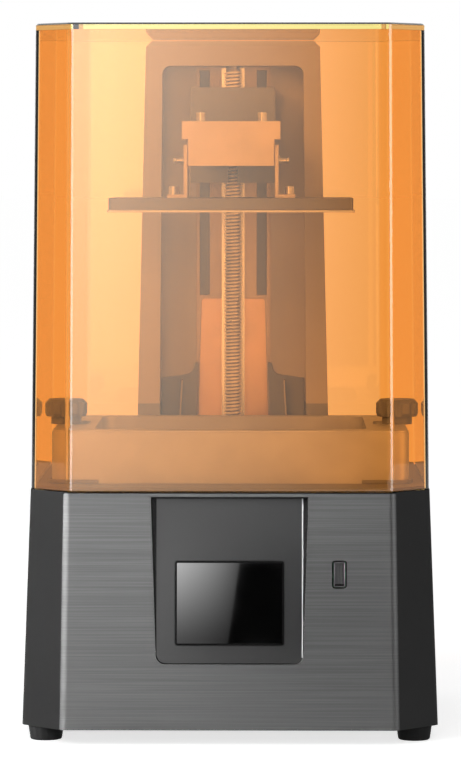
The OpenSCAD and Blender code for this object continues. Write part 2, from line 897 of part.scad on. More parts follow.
// Cantilever from the carriage into the pocket at the back of the plate holder
module z_arm() {
  front = holder_front + 8;
  color(dark) difference() {
    union() {
      translate([-arm.x / 2, front, arm_bottom]) cube([arm.x, carriage_front - front, arm.y]);
      translate([-carriage_w / 2, carriage_front - 5, arm_bottom]) cube([carriage_w, 5, 18]);
      both_sides() sideways(arm.x / 2 - 4, arm.x / 2) polygon([
        [holder_front + holder.y + 1, arm_bottom + arm.y - 1], [carriage_front - 5, arm_bottom + 18],
        [carriage_front - 5, arm_bottom + arm.y - 1]
      ]);
    }
    for (x = [-17, 17]) translate([x, 0, carriage_bottom + 26])
      peg(2.2, carriage_front - 8, carriage_front + 1);
    both_sides() translate([17.2, vat_y, arm_bottom - 1]) cylinder(r = 1.7, h = 30);
  }
}

module limit_flag() {
  color(bright) translate([flag_x, rail_front - 5, carriage_bottom]) {
    translate([-3, 0, 0]) cube([6, 1, 12]);
    translate([-0.5, 0, 0]) cube([1, 7.6, 12]);
  }
}

module plate_holder() {
  color(bright) difference() {
    union() {
      translate([-holder.x / 2, holder_front, holder_bottom]) cube(holder);
      translate([-holder_wing.x / 2, holder_front, holder_top - holder_wing.y])
        cube([holder_wing.x, holder.y, holder_wing.y]);
    }
    translate([-arm.x / 2 - slack, holder_front + 8, arm_bottom - slack])
      cube([arm.x + 2 * slack, holder.y, arm.y + 2 * slack]);
    both_sides() {
      translate([holder.x / 2 - holder_relief.x, holder_front - eps, holder_bottom - eps])
        cube([5, holder_relief.y + eps, holder.z - holder_wing.y + eps]);
      translate([17.2, vat_y, holder_bottom + 10]) cylinder(r = 1.7, h = 30);
      for (y = bolt_y) translate([holder.x / 2 - 2.6, y, bolt_level]) rotate([0, 90, 0])
        cylinder(r = 1.25, h = 8);
    }
  }
}

// Two cap screws on top, and four slim bolts through the slotted brackets
module holder_bolts() {
  out = holder.x / 2 + bracket_gap + bracket_t + 0.05;
  color(bright) both_sides() {
    translate([17.2, vat_y, holder_top]) cap_screw(2.6, 5.2, 1.5, 12);
    for (y = bolt_y) translate([0, y, bolt_level]) rotate([0, 90, 0]) {
      translate([0, 0, holder.x / 2 - 2.4]) cylinder(r = 1.2, h = 9.2);
      translate([0, 0, out]) cylinder(r = 2.6, h = 0.8);
      translate([0, 0, holder.x / 2 + 6.4]) cylinder(r = 1.6, h = 1.6);
    }
  }
}

// Angle bracket with upright slots for the side bolts
module bracket() {
  inner = holder.x / 2 + bracket_gap;
  leg_top = holder_bottom + 11.6;
  d = 40;
  translate([0, vat_y - d / 2 - 2, 0]) difference() {
    union() {
      translate([inner, 0, plate_top]) cube([bracket_t, d, leg_top - plate_top]);
      translate([inner, 0, plate_top]) cube([11.2, d, 1.9]);
    }
    for (y = bolt_y) translate([inner - 1, y - vat_y + d / 2 + 2, bolt_level - levelling]) {
      rotate([0, 90, 0]) cylinder(r = 1.5, h = 5);
      translate([0, -1.5, 0]) cube([5, 3, levelling]);
      translate([0, 0, levelling]) rotate([0, 90, 0]) cylinder(r = 1.5, h = 5);
    }
    for (y = [8, 32]) translate([inner + 8, y, plate_top - 1]) cylinder(r = 1.7, h = 5);
  }
}

module bracket_left() {
  color(bright) mirror([1, 0, 0]) bracket();
}

module bracket_right() {
  color(bright) bracket();
}

module plate_screws() {
  x = holder.x / 2 + bracket_gap + 8;
  color(bright) both_sides() for (y = [8, 32])
    translate([x, vat_y - 22 + y, plate_top + 1.9]) cap_screw(2.6, 4.4, 1.5, 5.5);
}

module build_plate() {
  color(steel) translate([0, vat_y, plate_level]) difference() {
    union() {
      linear_extrude(1.4) rounded(plate_w, plate_d, 1.5);
      translate([0, 0, 1.3]) linear_extrude(plate_t - 1.3) rounded(plate_w - 1.6, plate_d - 1.6, 2);
    }
    both_sides() for (y = [8, 32])
      translate([holder.x / 2 + bracket_gap + 8, y - 22, 3]) cylinder(r = 1.5, h = 10);
  }
}

// ---- vat ----

module vat_outline(grow = 0) {
  rounded(vat_w + 2 * grow, vat_d + 2 * grow, 6 + grow);
}

module vat_body() {
  color(bright) translate([0, vat_y, 0]) difference() {
    union() {
      translate([0, 0, deck_level]) linear_extrude(vat_rim - 1 - deck_level) vat_outline();
      translate([0, 0, vat_rim - 1.01]) linear_extrude(1.01) vat_outline(-0.5);
    }
    translate([0, 0, film_level + 0.2]) linear_extrude(60) rounded(cavity.x, cavity.y, 8);
    // seat of the film frame, underneath
    translate([0, 0, deck_level - 1]) linear_extrude(film_level + 1.21 - deck_level)
      rounded(cavity.x + 19, cavity.y + 15, 10);
    both_sides() {
      translate([knob_x, 0, deck_level - 1]) cylinder(r = 2.75, h = 60);
      translate([knob_x + 5, 0, knob_seat]) linear_extrude(20) rounded(36, 30, 5);
      // finger grips under the side walls
      translate([vat_w / 2 + 3, -42, deck_level - 1]) linear_extrude(9) rounded(16, 24, 4);
      translate([vat_w / 2 + 3, 42, deck_level - 1]) linear_extrude(9) rounded(16, 24, 4);
    }
  }
}

module release_film() {
  color([1, 1, 1, 0.3]) translate([0, vat_y, film_level]) linear_extrude(0.2)
    rounded(cavity.x + 18, cavity.y + 14, 9.5);
}

module film_hole_places() {
  for (x = [-72:24:72], y = [-1, 1]) translate([x, y * (cavity.y / 2 + 4)]) children();
  for (x = [-1, 1], y = [-40:20:40]) translate([x * (cavity.x / 2 + 5), y]) children();
}

module film_frame() {
  color(bright) translate([0, vat_y, deck_level + 0.1]) difference() {
    linear_extrude(film_level - deck_level - 0.1) difference() {
      rounded(cavity.x + 18, cavity.y + 14, 9.5);
      rounded(cavity.x - 2, cavity.y - 2, 7);
    }
    film_hole_places() translate([0, 0, -1]) cylinder(r = 1.3, h = 5, $fn = 16);
  }
}

module film_screws() {
  color(steel) translate([0, vat_y, deck_level + 0.1]) film_hole_places()
    cylinder(r = 1.25, h = film_level - deck_level - 0.1, $fn = 16);
}

// Low corner guides that the vat drops between
module vat_locators() {
  color(black) translate([0, vat_y, deck_level]) linear_extrude(2.2) difference() {
    vat_outline(2);
    vat_outline(0.3);
    square([vat_w - 50, 300], center = true);
    square([300, vat_d - 34], center = true);
  }
}

// Thumb screw: scalloped head, collar, neck and stud
module thumb_screw() {
  head = vat_rim + 3.7;
  r = knob_d / 2;
  color(black) translate([0, vat_y, 0]) {
    difference() {
      translate([0, 0, head]) union() {
        cylinder(r1 = r - 0.9, r2 = r, h = 1.8);
        translate([0, 0, 1.79]) cylinder(r = r, h = 5.6);
        translate([0, 0, 7.38]) cylinder(r1 = r, r2 = r - 2.4, h = 2.4);
      }
      for (i = [0:7]) rotate([0, 0, 45 * i]) translate([r + 1.6, 0, head - 1])
        cylinder(r = 2.9, h = 20);
    }
    translate([0, 0, vat_rim - 0.6]) cylinder(r = 8, h = 4.4);
    translate([0, 0, knob_seat]) cylinder(r = 3.4, h = 5);
    translate([0, 0, base_top - 8]) cylinder(r = 2.45, h = knob_seat + 8.5 - base_top);
  }
}

module knob_left() {
  translate([-knob_x, 0, 0]) thumb_screw();
}

module knob_right() {
  translate([knob_x, 0, 0]) thumb_screw();
}

// ---- cover ----

module cover_walls() {
  color(tint) difference() {
    cover_form(0, base_top, cover_top - cover_plate);
    cover_form(cover_wall, base_top - 1, cover_top);
  }
}

module cover_top_plate() {
  half = cover_half - cover_lean;
  color(tint) translate([0, 0, cover_top - cover_plate]) linear_extrude(cover_plate)
    polygon(octagon(half, cover_chamfer_top, cover_edge_r));
}

base_shell();
base_plate();
rubber_feet();
base_screws();
front_panel();
console_bezel();
touch_glass();
display_module();
usb_shell();
usb_tongue();
usb_board();
deck_plate();
mask_lcd();
light_hood();
led_board();
heat_sink();
led_fan_frame();
led_fan_rotor();
mainboard();
fan_frame();
fan_rotor();
fan_guard();
rear_screws();
rocker_bezel();
power_rocker();
power_jack();
vat_locators();
column_cover();
column_spine();
stand_plate();
foot_bracket_left();
foot_bracket_right();
limit_sensor();
linear_rail();
rail_screws();
top_bearing();
z_motor();
motor_shaft();
screw_coupler();
lead_screw();
rail_slider();
carriage();
screw_nut();
z_arm();
limit_flag();
plate_holder();
holder_bolts();
bracket_left();
bracket_right();
plate_screws();
build_plate();
vat_body();
release_film();
film_frame();
film_screws();
knob_left();
knob_right();
cover_walls();
cover_top_plate();
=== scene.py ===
# Desktop resin printer: finishes, fine pieces, studio and camera round the CAD parts.
# Front faces -Y, up is +Z, metres. Values to change stand in the dictionaries below.
import json
import math

import bmesh
import bpy
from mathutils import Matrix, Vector

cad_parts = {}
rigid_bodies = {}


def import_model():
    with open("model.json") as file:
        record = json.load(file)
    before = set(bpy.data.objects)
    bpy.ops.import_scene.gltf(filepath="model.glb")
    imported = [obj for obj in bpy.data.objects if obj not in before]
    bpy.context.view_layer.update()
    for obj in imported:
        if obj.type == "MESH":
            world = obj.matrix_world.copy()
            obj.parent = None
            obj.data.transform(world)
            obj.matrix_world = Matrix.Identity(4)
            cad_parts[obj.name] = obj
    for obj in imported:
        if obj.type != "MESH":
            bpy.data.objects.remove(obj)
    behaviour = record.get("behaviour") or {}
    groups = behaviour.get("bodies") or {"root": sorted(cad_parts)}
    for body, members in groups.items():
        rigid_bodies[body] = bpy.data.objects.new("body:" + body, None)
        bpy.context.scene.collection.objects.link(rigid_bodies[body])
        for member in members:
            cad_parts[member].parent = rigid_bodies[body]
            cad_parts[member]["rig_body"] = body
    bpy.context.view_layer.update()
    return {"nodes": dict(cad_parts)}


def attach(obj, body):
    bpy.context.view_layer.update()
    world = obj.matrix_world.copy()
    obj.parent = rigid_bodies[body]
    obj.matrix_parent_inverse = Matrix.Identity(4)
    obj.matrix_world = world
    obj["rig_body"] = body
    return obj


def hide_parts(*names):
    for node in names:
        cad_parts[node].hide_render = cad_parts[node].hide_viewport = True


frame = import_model()
mm = 0.001


# shader maths and nodes

class Flow:
    # wraps a node's output socket so that values can be added, scaled and mixed in plain Python

    def __init__(self, finish, socket):
        self.finish = finish
        self.socket = socket

    def maths(self, operation, first, second):
        return self.finish.node("ShaderNodeMath", {"operation": operation}, {0: first, 1: second})

    def __add__(self, other):
        return self.maths("ADD", self, other)

    def __radd__(self, other):
        return self.maths("ADD", other, self)

    def __sub__(self, other):
        return self.maths("SUBTRACT", self, other)

    def __rsub__(self, other):
        return self.maths("SUBTRACT", other, self)

    def __mul__(self, other):
        return self.maths("MULTIPLY", self, other)

    def __rmul__(self, other):
        return self.maths("MULTIPLY", other, self)

    def __pow__(self, other):
        return self.maths("POWER", self, other)


class Finish:
    # one material (or light, or world) and the only way that its nodes are made

    def __init__(self, name, tree=None):
        if tree is None:
            self.material = bpy.data.materials.new(name)
            self.material.use_nodes = True
            tree = self.material.node_tree
        self.tree = tree
        self.tree.nodes.clear()

    def node(self, kind, settings=None, inputs=None, out=0):
        made = self.tree.nodes.new(kind)
        for key, value in (settings or {}).items():
            if key == "stops":
                ramp = made.color_ramp
                while len(ramp.elements) > len(value):
                    ramp.elements.remove(ramp.elements[-1])
                while len(ramp.elements) < len(value):
                    ramp.elements.new(1.0)
                for element, (place, colour) in zip(ramp.elements, value):
                    element.position = place
                    element.color = colour
            else:
                setattr(made, key, value)
        for key, value in (inputs or {}).items():
            if isinstance(value, Flow):
                self.tree.links.new(value.socket, made.inputs[key])
            else:
                made.inputs[key].default_value = value
        return Flow(self, made.outputs[out]) if len(made.outputs) else made

    def place(self, scale=(1, 1, 1)):
        # object coordinates in metres, stretched by scale
        coords = self.node("ShaderNodeTexCoord", out=3)
        return self.node("ShaderNodeMapping", {"vector_type": "POINT"},
                         {"Vector": coords, "Scale": scale})

    def noise(self, vector, scale, detail=2.0, roughness=0.5):
        return self.node("ShaderNodeTexNoise", {"noise_dimensions": "3D"},
                         {"Vector": vector, "Scale": scale, "Detail": detail,
                          "Roughness": roughness})

    def ramp(self, factor, stops):
        return self.node("ShaderNodeValToRGB", {"stops": stops}, {"Fac": factor})

    def span(self, value, low, high, newLow, newHigh):
        return self.node("ShaderNodeMapRange", {"clamp": True},
                         {"Value": value, "From Min": low, "From Max": high,
                          "To Min": newLow, "To Max": newHigh})

    def bump(self, height, strength, distance):
        return self.node("ShaderNodeBump", None,
                         {"Height": height, "Strength": strength, "Distance": distance})

    def skin(self, **inputs):
        return self.node("ShaderNodeBsdfPrincipled", None,
                         {key.replace("_", " "): value for key, value in inputs.items()})

    def done(self, shader):
        self.node("ShaderNodeOutputMaterial", None, {"Surface": shader})
        return self.material


def grey(level, warm=0.0):
    # linear grey with a little warmth, from a 0..255 display level
    linear = ((level / 255 + 0.055) / 1.055) ** 2.4 if level > 10 else level / 255 / 12.92
    return (linear * (1 + warm), linear, linear * (1 - warm), 1.0)


def shade(red, green, blue):
    return tuple(grey(level)[0] for level in (red, green, blue)) + (1.0,)


# finishes

def satinPaint(name, level, spread=0.12, rough=0.42, grain=2600, gloss=0.5, warm=0.0):
    # sprayed satin paint: a very fine orange peel and slow unevenness of its gloss
    paint = Finish(name)
    here = paint.place()
    cloud = paint.noise(here, 22, 3)
    peel = paint.noise(here, grain, 1)
    low, high = grey(level * (1 - spread), warm), grey(level * (1 + spread), warm)
    colour = paint.ramp(cloud, [(0.15, low), (0.85, high)])
    return paint.done(paint.skin(
        Base_Color=colour,
        Roughness=paint.span(cloud, 0.1, 0.9, rough * (1 - spread), rough * (1 + spread)),
        IOR=1.48, Specular_IOR_Level=gloss, Normal=paint.bump(peel, 0.1, 0.00004)))


def brushedSheet(name, level, along="x", rough=0.36):
    # long fine scratches in one direction, with broader streaks of lighter metal
    steel = Finish(name)
    squeeze = {"x": (0.35, 0.35, 46.0), "z": (46.0, 46.0, 0.35)}[along]
    here = steel.place(squeeze)
    fine = steel.noise(here, 28, 3, 0.6)
    broad = steel.noise(here, 7, 3, 0.6)
    mix = fine * 0.8 + broad * 0.2
    colour = steel.ramp(mix, [(0.36, grey(level * 0.93)), (0.5, grey(level)),
                              (0.64, grey(level * 1.09))])
    return steel.done(steel.skin(
        Base_Color=colour, Metallic=1.0,
        Roughness=steel.span(fine, 0.3, 0.7, rough - 0.05, rough + 0.05),
        Normal=steel.bump(fine, 0.2, 0.00005)))


def plainMetal(name, level, rough=0.3, warm=0.0, metallic=1.0, grain=900, depth=0.1):
    # blasted or drawn metal: short grain and soft clouds in gloss
    metal = Finish(name)
    here = metal.place()
    grainField = metal.noise(here, grain, 2)
    cloud = metal.noise(here, 35, 2)
    colour = metal.ramp(cloud, [(0.3, grey(level * 0.94, warm)), (0.7, grey(level * 1.04, warm))])
    return metal.done(metal.skin(
        Base_Color=colour, Metallic=metallic,
        Roughness=metal.span(cloud, 0.3, 0.7, rough - 0.05, rough + 0.06),
        Normal=metal.bump(grainField, depth, 0.00003)))


def mouldedPlastic(name, level, rough=0.5):
    # spark-eroded moulding grain
    plastic = Finish(name)
    here = plastic.place()
    spark = plastic.noise(here, 1500, 2)
    cloud = plastic.noise(here, 30, 2)
    colour = plastic.ramp(cloud, [(0.3, grey(level * 0.9)), (0.7, grey(level * 1.1))])
    return plastic.done(plastic.skin(
        Base_Color=colour, Roughness=plastic.span(spark, 0.3, 0.7, rough - 0.06, rough + 0.08),
        IOR=1.46, Normal=plastic.bump(spark, 0.4, 0.00005)))


def tintedAcrylic(name, colour):
    # clear cast sheet; light that only lights what is behind it passes with its own tint
    acrylic = Finish(name)
    wave = acrylic.noise(acrylic.place(), 9, 1)
    paler = tuple(0.985 * c for c in colour[:3]) + (1.0,)
    sheet = acrylic.skin(Base_Color=acrylic.ramp(wave, [(0.2, colour), (0.8, paler)]),
                         Roughness=0.0, IOR=1.49, Transmission_Weight=1.0)
    through = tuple(math.sqrt(c) for c in colour[:3]) + (1.0,)
    clear = acrylic.node("ShaderNodeBsdfTransparent", None, {"Color": through})
    shadowRay = acrylic.node("ShaderNodeLightPath", out=1)
    diffuseRay = acrylic.node("ShaderNodeLightPath", out=2)
    return acrylic.done(acrylic.node("ShaderNodeMixShader", None, {
        0: shadowRay.maths("MAXIMUM", shadowRay, diffuseRay), 1: sheet, 2: clear}))


def blackGlass(name):
    glass = Finish(name)
    here = glass.place()
    haze = glass.noise(here, 60, 2)
    return glass.done(glass.skin(
        Base_Color=glass.ramp(haze, [(0.3, grey(4)), (0.7, grey(7))]),
        Roughness=glass.span(haze, 0.3, 0.7, 0.03, 0.06), IOR=1.52, Coat_Weight=0.4,
        Coat_Roughness=0.02))


def circuitBoard(name):
    # green solder mask with paler tracks
    board = Finish(name)
    here = board.place((1, 1, 0.2))
    tracks = board.node("ShaderNodeTexBrick", None, {
        "Vector": here, "Color1": shade(20, 92, 55), "Color2": shade(24, 100, 60),
        "Mortar": shade(46, 128, 78), "Scale": 160.0, "Mortar Size": 0.012})
    return board.done(board.skin(Base_Color=tracks, Roughness=0.38, IOR=1.5))


def clearFilm(name):
    film = Finish(name)
    cloud = film.noise(film.place(), 40, 2)
    sheen = film.skin(Base_Color=grey(235), Roughness=0.12, IOR=1.35,
                      Alpha=film.span(cloud, 0.3, 0.7, 0.22, 0.3))
    return film.done(sheen)


finishes = {
    "housing": satinPaint("housing paint", 54, 0.06, 0.5, gloss=0.02),
    "deck": satinPaint("deck paint", 138, 0.08, 0.5),
    "sheet": brushedSheet("brushed dark sheet", 60, rough=0.4),
    "console": satinPaint("console paint", 40, 0.02, 0.27, gloss=0.24),
    "glass": blackGlass("black touch glass"),
    # painted shadow: near-black where the console and the top edges of the sheet and housing fall
    # into shade
    "paintedShadow": satinPaint("painted shadow black", 7, 0.05, 0.5, gloss=0.03),
    # painted highlight: a lighter metal on the console's right bead stands in for the glint along
    # that edge
    "bead": plainMetal("console bead painted highlight", 98, 0.35, metallic=0.3),
    # black: painted shade in and round the data socket, and the touch glass's own border
    "shadeAndBorderBlack": satinPaint("black for painted socket shade and glass border", 5, 0.05, 0.5, gloss=0.03),
    "column": satinPaint("column paint", 184, 0.03, 0.5, warm=0.1),
    "columnDarkerBelow": satinPaint("column paint darker below", 146, 0.03, 0.5),
    "spine": plainMetal("spine metal", 172, 0.45, warm=0.22, metallic=0.5),
    "grooveShade": satinPaint("spine groove painted shade", 132, 0.05, 0.5),
    "steel": plainMetal("bright screws", 190, 0.26),
    "socketSteel": plainMetal("socket steel", 128, 0.4, metallic=0.5),
    "socketTongue": satinPaint("socket tongue", 98, 0.05, 0.5, gloss=0.2),
    "polished": plainMetal("ground steel", 215, 0.2, depth=0.05),
    "thread": plainMetal("bright thread", 235, 0.3, warm=0.06, metallic=0.35, depth=0.05),
    # painted shade: the screw's core, seen between the teeth, is painted much darker than the
    # teeth
    "threadRootShade": plainMetal("thread root painted shade", 118, 0.35, warm=0.1, metallic=0.5, depth=0.05),
    "rail": brushedSheet("ground rail", 205, "z", 0.3),
    "aluminium": plainMetal("satin aluminium", 203, 0.45, warm=0.15, metallic=0.35),
    "standMetal": plainMetal("warm stand metal", 209, 0.45, warm=0.42, metallic=0.4),
    "plate": plainMetal("plate aluminium", 114, 0.42, metallic=0.5),
    "plateLip": plainMetal("machined plate edge", 205, 0.35, metallic=0.5),
    "bracketPaint": satinPaint("foot bracket paint", 135, 0.04, 0.5, gloss=0.2),
    "anodised": satinPaint("dark anodised", 140, 0.05, 0.4),
    "vat": plainMetal("blasted vat aluminium", 190, 0.5, metallic=0.4, grain=1800, depth=0.15),
    "brass": plainMetal("turned brass", 170, 0.3, warm=0.35),
    "plastic": mouldedPlastic("black moulding", 32),
    "fanPlastic": mouldedPlastic("fan moulding", 38, 0.4),
    "knob": mouldedPlastic("knob moulding", 124, 0.45),
    "rubber": satinPaint("foot rubber", 24, 0.05, 0.7, grain=2200, gloss=0.1),
    "gloss": mouldedPlastic("gloss moulding", 24, 0.2),
    "board": circuitBoard("circuit board"),
    "lightBoard": plainMetal("white board", 225, 0.5, metallic=0.0),
    "film": clearFilm("release film"),
    "cover": tintedAcrylic("amber acrylic", (1.0, 0.63, 0.30, 1.0)),
    "coverCorner": tintedAcrylic("acrylic corner painted shade", (1.0, 0.55, 0.18, 1.0)),
    "lidEdgeGlow": tintedAcrylic("lid edge painted glow", (1.0, 0.86, 0.28, 1.0)),
    "lidCorner": tintedAcrylic("lid corner painted shade", (0.6, 0.19, 0.05, 1.0)),
    "lidBevel": tintedAcrylic("lid bevel painted shade", (0.32, 0.26, 0.06, 1.0)),
    "coverBevelShade": tintedAcrylic("cover bevel painted shade", (0.22, 0.16, 0.04, 1.0)),
}

finishOfNode = {
    "base_shell": "housing", "base_plate": "housing", "rubber_feet": "rubber",
    "base_screws": "steel", "front_panel": "sheet", "console_bezel": "console",
    "touch_glass": "glass", "display_module": "steel", "usb_shell": "socketSteel",
    "usb_tongue": "socketTongue", "usb_board": "board", "deck_plate": "deck", "mask_lcd": "glass",
    "light_hood": "plastic", "led_board": "lightBoard", "heat_sink": "aluminium",
    "led_fan_frame": "fanPlastic", "led_fan_rotor": "fanPlastic", "mainboard": "board",
    "fan_frame": "fanPlastic", "fan_rotor": "fanPlastic", "fan_guard": "plastic",
    "rear_screws": "steel", "rocker_bezel": "plastic", "power_rocker": "gloss",
    "power_jack": "plastic", "vat_locators": "deck", "column_cover": "column",
    "column_spine": "spine", "stand_plate": "standMetal", "foot_bracket_left": "bracketPaint",
    "foot_bracket_right": "bracketPaint", "limit_sensor": "plastic", "linear_rail": "rail",
    "rail_screws": "steel", "top_bearing": "anodised", "z_motor": "housing",
    "motor_shaft": "polished", "screw_coupler": "aluminium", "lead_screw": "polished",
    "rail_slider": "polished", "carriage": "anodised", "screw_nut": "brass",
    "z_arm": "anodised", "limit_flag": "steel", "plate_holder": "aluminium",
    "holder_bolts": "steel", "bracket_left": "aluminium", "bracket_right": "aluminium",
    "plate_screws": "steel", "build_plate": "plate", "vat_body": "vat",
    "release_film": "film", "film_frame": "aluminium", "film_screws": "steel",
    "knob_left": "knob", "knob_right": "knob", "cover_walls": "cover",
    "cover_top_plate": "cover",
}

for nodeName, part in frame["nodes"].items():
    part.data.materials.clear()
    part.data.materials.append(finishes[finishOfNode[nodeName]])
print("finishes on", len(frame["nodes"]), "CAD parts")


# modelling helpers

def startClean():
    if bpy.context.object and bpy.context.object.mode != "OBJECT":
        bpy.ops.object.mode_set(mode="OBJECT")
    bpy.ops.object.select_all(action="DESELECT")


def openEdit(piece):
    startClean()
    bpy.context.view_layer.objects.active = piece
    piece.select_set(True)
    bpy.ops.object.mode_set(mode="EDIT")


def closeEdit():
    bpy.ops.object.mode_set(mode="OBJECT")


def pick(piece, mode, test):
    # selects the vertices, edges or faces of the open mesh whose middle passes the test
    bpy.ops.mesh.select_mode(type=mode)
    bpy.ops.mesh.select_all(action="DESELECT")
    mesh = bmesh.from_edit_mesh(piece.data)
    for item in {"VERT": mesh.verts, "EDGE": mesh.edges, "FACE": mesh.faces}[mode]:
        if mode == "VERT":
            middle = item.co
        elif mode == "EDGE":
            middle = (item.verts[0].co + item.verts[1].co) / 2
        else:
            middle = item.calc_center_median()
        if test(item, middle):
            item.select_set(True)
    mesh.select_flush_mode()
    bmesh.update_edit_mesh(piece.data)


def applyModifier(piece, kind, **settings):
    startClean()
    bpy.context.view_layer.objects.active = piece
    piece.select_set(True)
    modifier = piece.modifiers.new(kind.lower(), kind)
    for key, value in settings.items():
        setattr(modifier, key, value)
    bpy.ops.object.modifier_apply(modifier=modifier.name)


def bakePlace(piece):
    # puts the object at the origin, unturned and unscaled, with its place in its mesh
    startClean()
    bpy.context.view_layer.objects.active = piece
    piece.select_set(True)
    bpy.ops.object.transform_apply(location=True, rotation=True, scale=True)


def smooth(piece, degrees=35):
    startClean()
    bpy.context.view_layer.objects.active = piece
    piece.select_set(True)
    bpy.ops.object.shade_smooth_by_angle(angle=math.radians(degrees))


def settle(piece, finishName, nodeNames):
    # finish, material slot and body all follow the CAD part that the piece stands for
    first = frame["nodes"][nodeNames[0]]
    piece.data.materials.clear()
    piece.data.materials.append(finishes[finishName])
    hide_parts(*nodeNames)
    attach(piece, first["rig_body"])


merging = {"distance": 0.004, "flatWithin": 0.6}    # mm, degrees


def mergedCopy(nodeName, pieceName):
    # a copy of a CAD part with its loose triangles merged into whole faces
    startClean()
    source = frame["nodes"][nodeName]
    source.select_set(True)
    bpy.context.view_layer.objects.active = source
    bpy.ops.object.duplicate(linked=False)
    piece = bpy.context.object
    bpy.ops.object.parent_clear(type="CLEAR_KEEP_TRANSFORM")
    for key in list(piece.keys()):
        del piece[key]
    piece.name = pieceName
    openEdit(piece)
    bpy.ops.mesh.select_all(action="SELECT")
    bpy.ops.mesh.remove_doubles(threshold=merging["distance"] * mm)
    bpy.ops.mesh.dissolve_limited(angle_limit=math.radians(merging["flatWithin"]))
    closeEdit()
    return piece


def finishCopy(piece, nodeName, width, segments, angle=32):
    # small rounds on the sharp edges, and flat faces that shade flat
    if width:
        applyModifier(piece, "BEVEL", width=width * mm, segments=segments,
                      limit_method="ANGLE", angle_limit=math.radians(angle),
                      use_clamp_overlap=True)
    smooth(piece, angle + 14)
    applyModifier(piece, "WEIGHTED_NORMAL", weight=100, keep_sharp=True)
    settle(piece, finishOfNode[nodeName], [nodeName])
    return piece


# lead screw with its thread

leadScrew = {"x": 0, "y": 73, "bottom": 142, "threadTop": 369, "top": 378.2, "coreRadius": 3.95,
             "crestRadius": 5.0, "pitch": 2.0, "journalRadius": 3.0, "endBevel": 0.4, "steps": 18,
             # how far a tooth's foot sinks into the core, and the heights of its four corners
             "toothSink": 0.3, "toothLevels": (0.08, 0.66, 1.14, 1.72)}


def makeLeadScrew():
    size = leadScrew
    startClean()
    bpy.ops.mesh.primitive_cylinder_add(
        vertices=32, radius=size["coreRadius"] * mm,
        depth=(size["threadTop"] - size["bottom"]) * mm,
        location=(size["x"] * mm, size["y"] * mm, (size["threadTop"] + size["bottom"]) / 2 * mm))
    core = bpy.context.object
    bakePlace(core)
    openEdit(core)
    top = size["threadTop"] * mm
    pick(core, "FACE", lambda face, at: at.z > top - 1e-5 and face.normal.z > 0.9)
    bpy.ops.mesh.inset(thickness=(size["coreRadius"] - size["journalRadius"]) * mm)
    bpy.ops.mesh.extrude_region_move(
        TRANSFORM_OT_translate={"value": (0, 0, (size["top"] - size["threadTop"]) * mm)})
    bpy.ops.mesh.bevel(offset=size["endBevel"] * mm, segments=2)
    closeEdit()
    # one tooth's outline, swept round and up by the screw modifier
    startClean()
    bpy.ops.mesh.primitive_plane_add(size=1 * mm)
    tooth = bpy.context.object
    mesh = bmesh.new()
    pitch = size["pitch"]
    foot, crest = size["coreRadius"] - size["toothSink"], size["crestRadius"]
    outline = zip((foot, crest, crest, foot), size["toothLevels"])
    corners = [mesh.verts.new((r * mm, 0, (size["bottom"] + z) * mm)) for r, z in outline]
    for k in range(4):
        mesh.edges.new((corners[k], corners[(k + 1) % 4]))
    mesh.to_mesh(tooth.data)
    mesh.free()
    turns = int((size["threadTop"] - size["bottom"]) / pitch) - 1
    applyModifier(tooth, "SCREW", axis="Z", angle=math.tau, screw_offset=pitch * mm,
                  iterations=turns, steps=size["steps"], render_steps=size["steps"])
    openEdit(tooth)
    bpy.ops.mesh.select_all(action="SELECT")
    bpy.ops.mesh.fill_holes(sides=4)
    bpy.ops.mesh.select_all(action="SELECT")
    bpy.ops.mesh.normals_make_consistent(inside=False)
    bpy.ops.transform.translate(value=(size["x"] * mm, size["y"] * mm, 0))
    closeEdit()
    startClean()
    tooth.data.materials.clear()
    tooth.data.materials.append(finishes["thread"])
    core.data.materials.append(finishes["threadRootShade"])
    tooth.select_set(True)
    core.select_set(True)
    bpy.context.view_layer.objects.active = core
    bpy.ops.object.join()
    core.name = "threadedLeadScrew"
    smooth(core, 30)
    rest = [face.material_index for face in core.data.polygons]
    settle(core, "threadRootShade", ["lead_screw"])
    core.data.materials.append(finishes["thread"])
    for face, index in zip(core.data.polygons, rest):
        face.material_index = index


makeLeadScrew()
print("lead screw threaded")


# rounded edges on the visible CAD parts

softEdges = {
    # part: (piece name, round in mm, segments)
    "base_shell": ("baseHousing", 0.25, 2), "front_panel": ("brushedFrontSheet", 0.2, 2),
    "console_bezel": ("consoleTray", 0.35, 3), "touch_glass": ("touchGlass", 0.2, 2),
    "usb_shell": ("usbSocketShell", 0.1, 1), "usb_tongue": ("usbTongue", 0.15, 1),
    "deck_plate": ("deckPlate", 0.3, 2), "rubber_feet": ("rubberFeet", 0.15, 1),
    "column_cover": ("columnCover", 0.4, 2), "stand_plate": ("taperedStandPlate", 0.2, 2),
    "column_spine": ("columnSpine", 0.3, 2), "linear_rail": ("linearRail", 0.2, 1),
    "rail_slider": ("railSlider", 0.3, 2), "carriage": ("platformCarriage", 0.4, 2),
    "z_arm": ("platformArm", 0.5, 2), "plate_holder": ("plateHolder", 0.35, 2),
    "bracket_left": ("leftAngleBracket", 0.2, 2), "bracket_right": ("rightAngleBracket", 0.2, 2),
    "build_plate": ("buildPlate", 0.3, 2), "vat_body": ("resinVat", 0.5, 3),
    "knob_left": ("leftThumbScrew", 0.5, 3), "knob_right": ("rightThumbScrew", 0.5, 3),
    "vat_locators": ("vatCornerGuides", 0.3, 2), "foot_bracket_left": ("leftFootBracket", 0.2, 1),
    "foot_bracket_right": ("rightFootBracket", 0.2, 1), "fan_guard": ("fanGuard", 0.2, 2),
    "rocker_bezel": ("rockerBezel", 0.3, 2), "power_rocker": ("powerRocker", 0.3, 2),
    "power_jack": ("powerInlet", 0.25, 2), "holder_bolts": ("holderBolts", 0.2, 2),
    "plate_screws": ("plateScrews", 0.2, 2), "rear_screws": ("rearScrews", 0.15, 1),
}

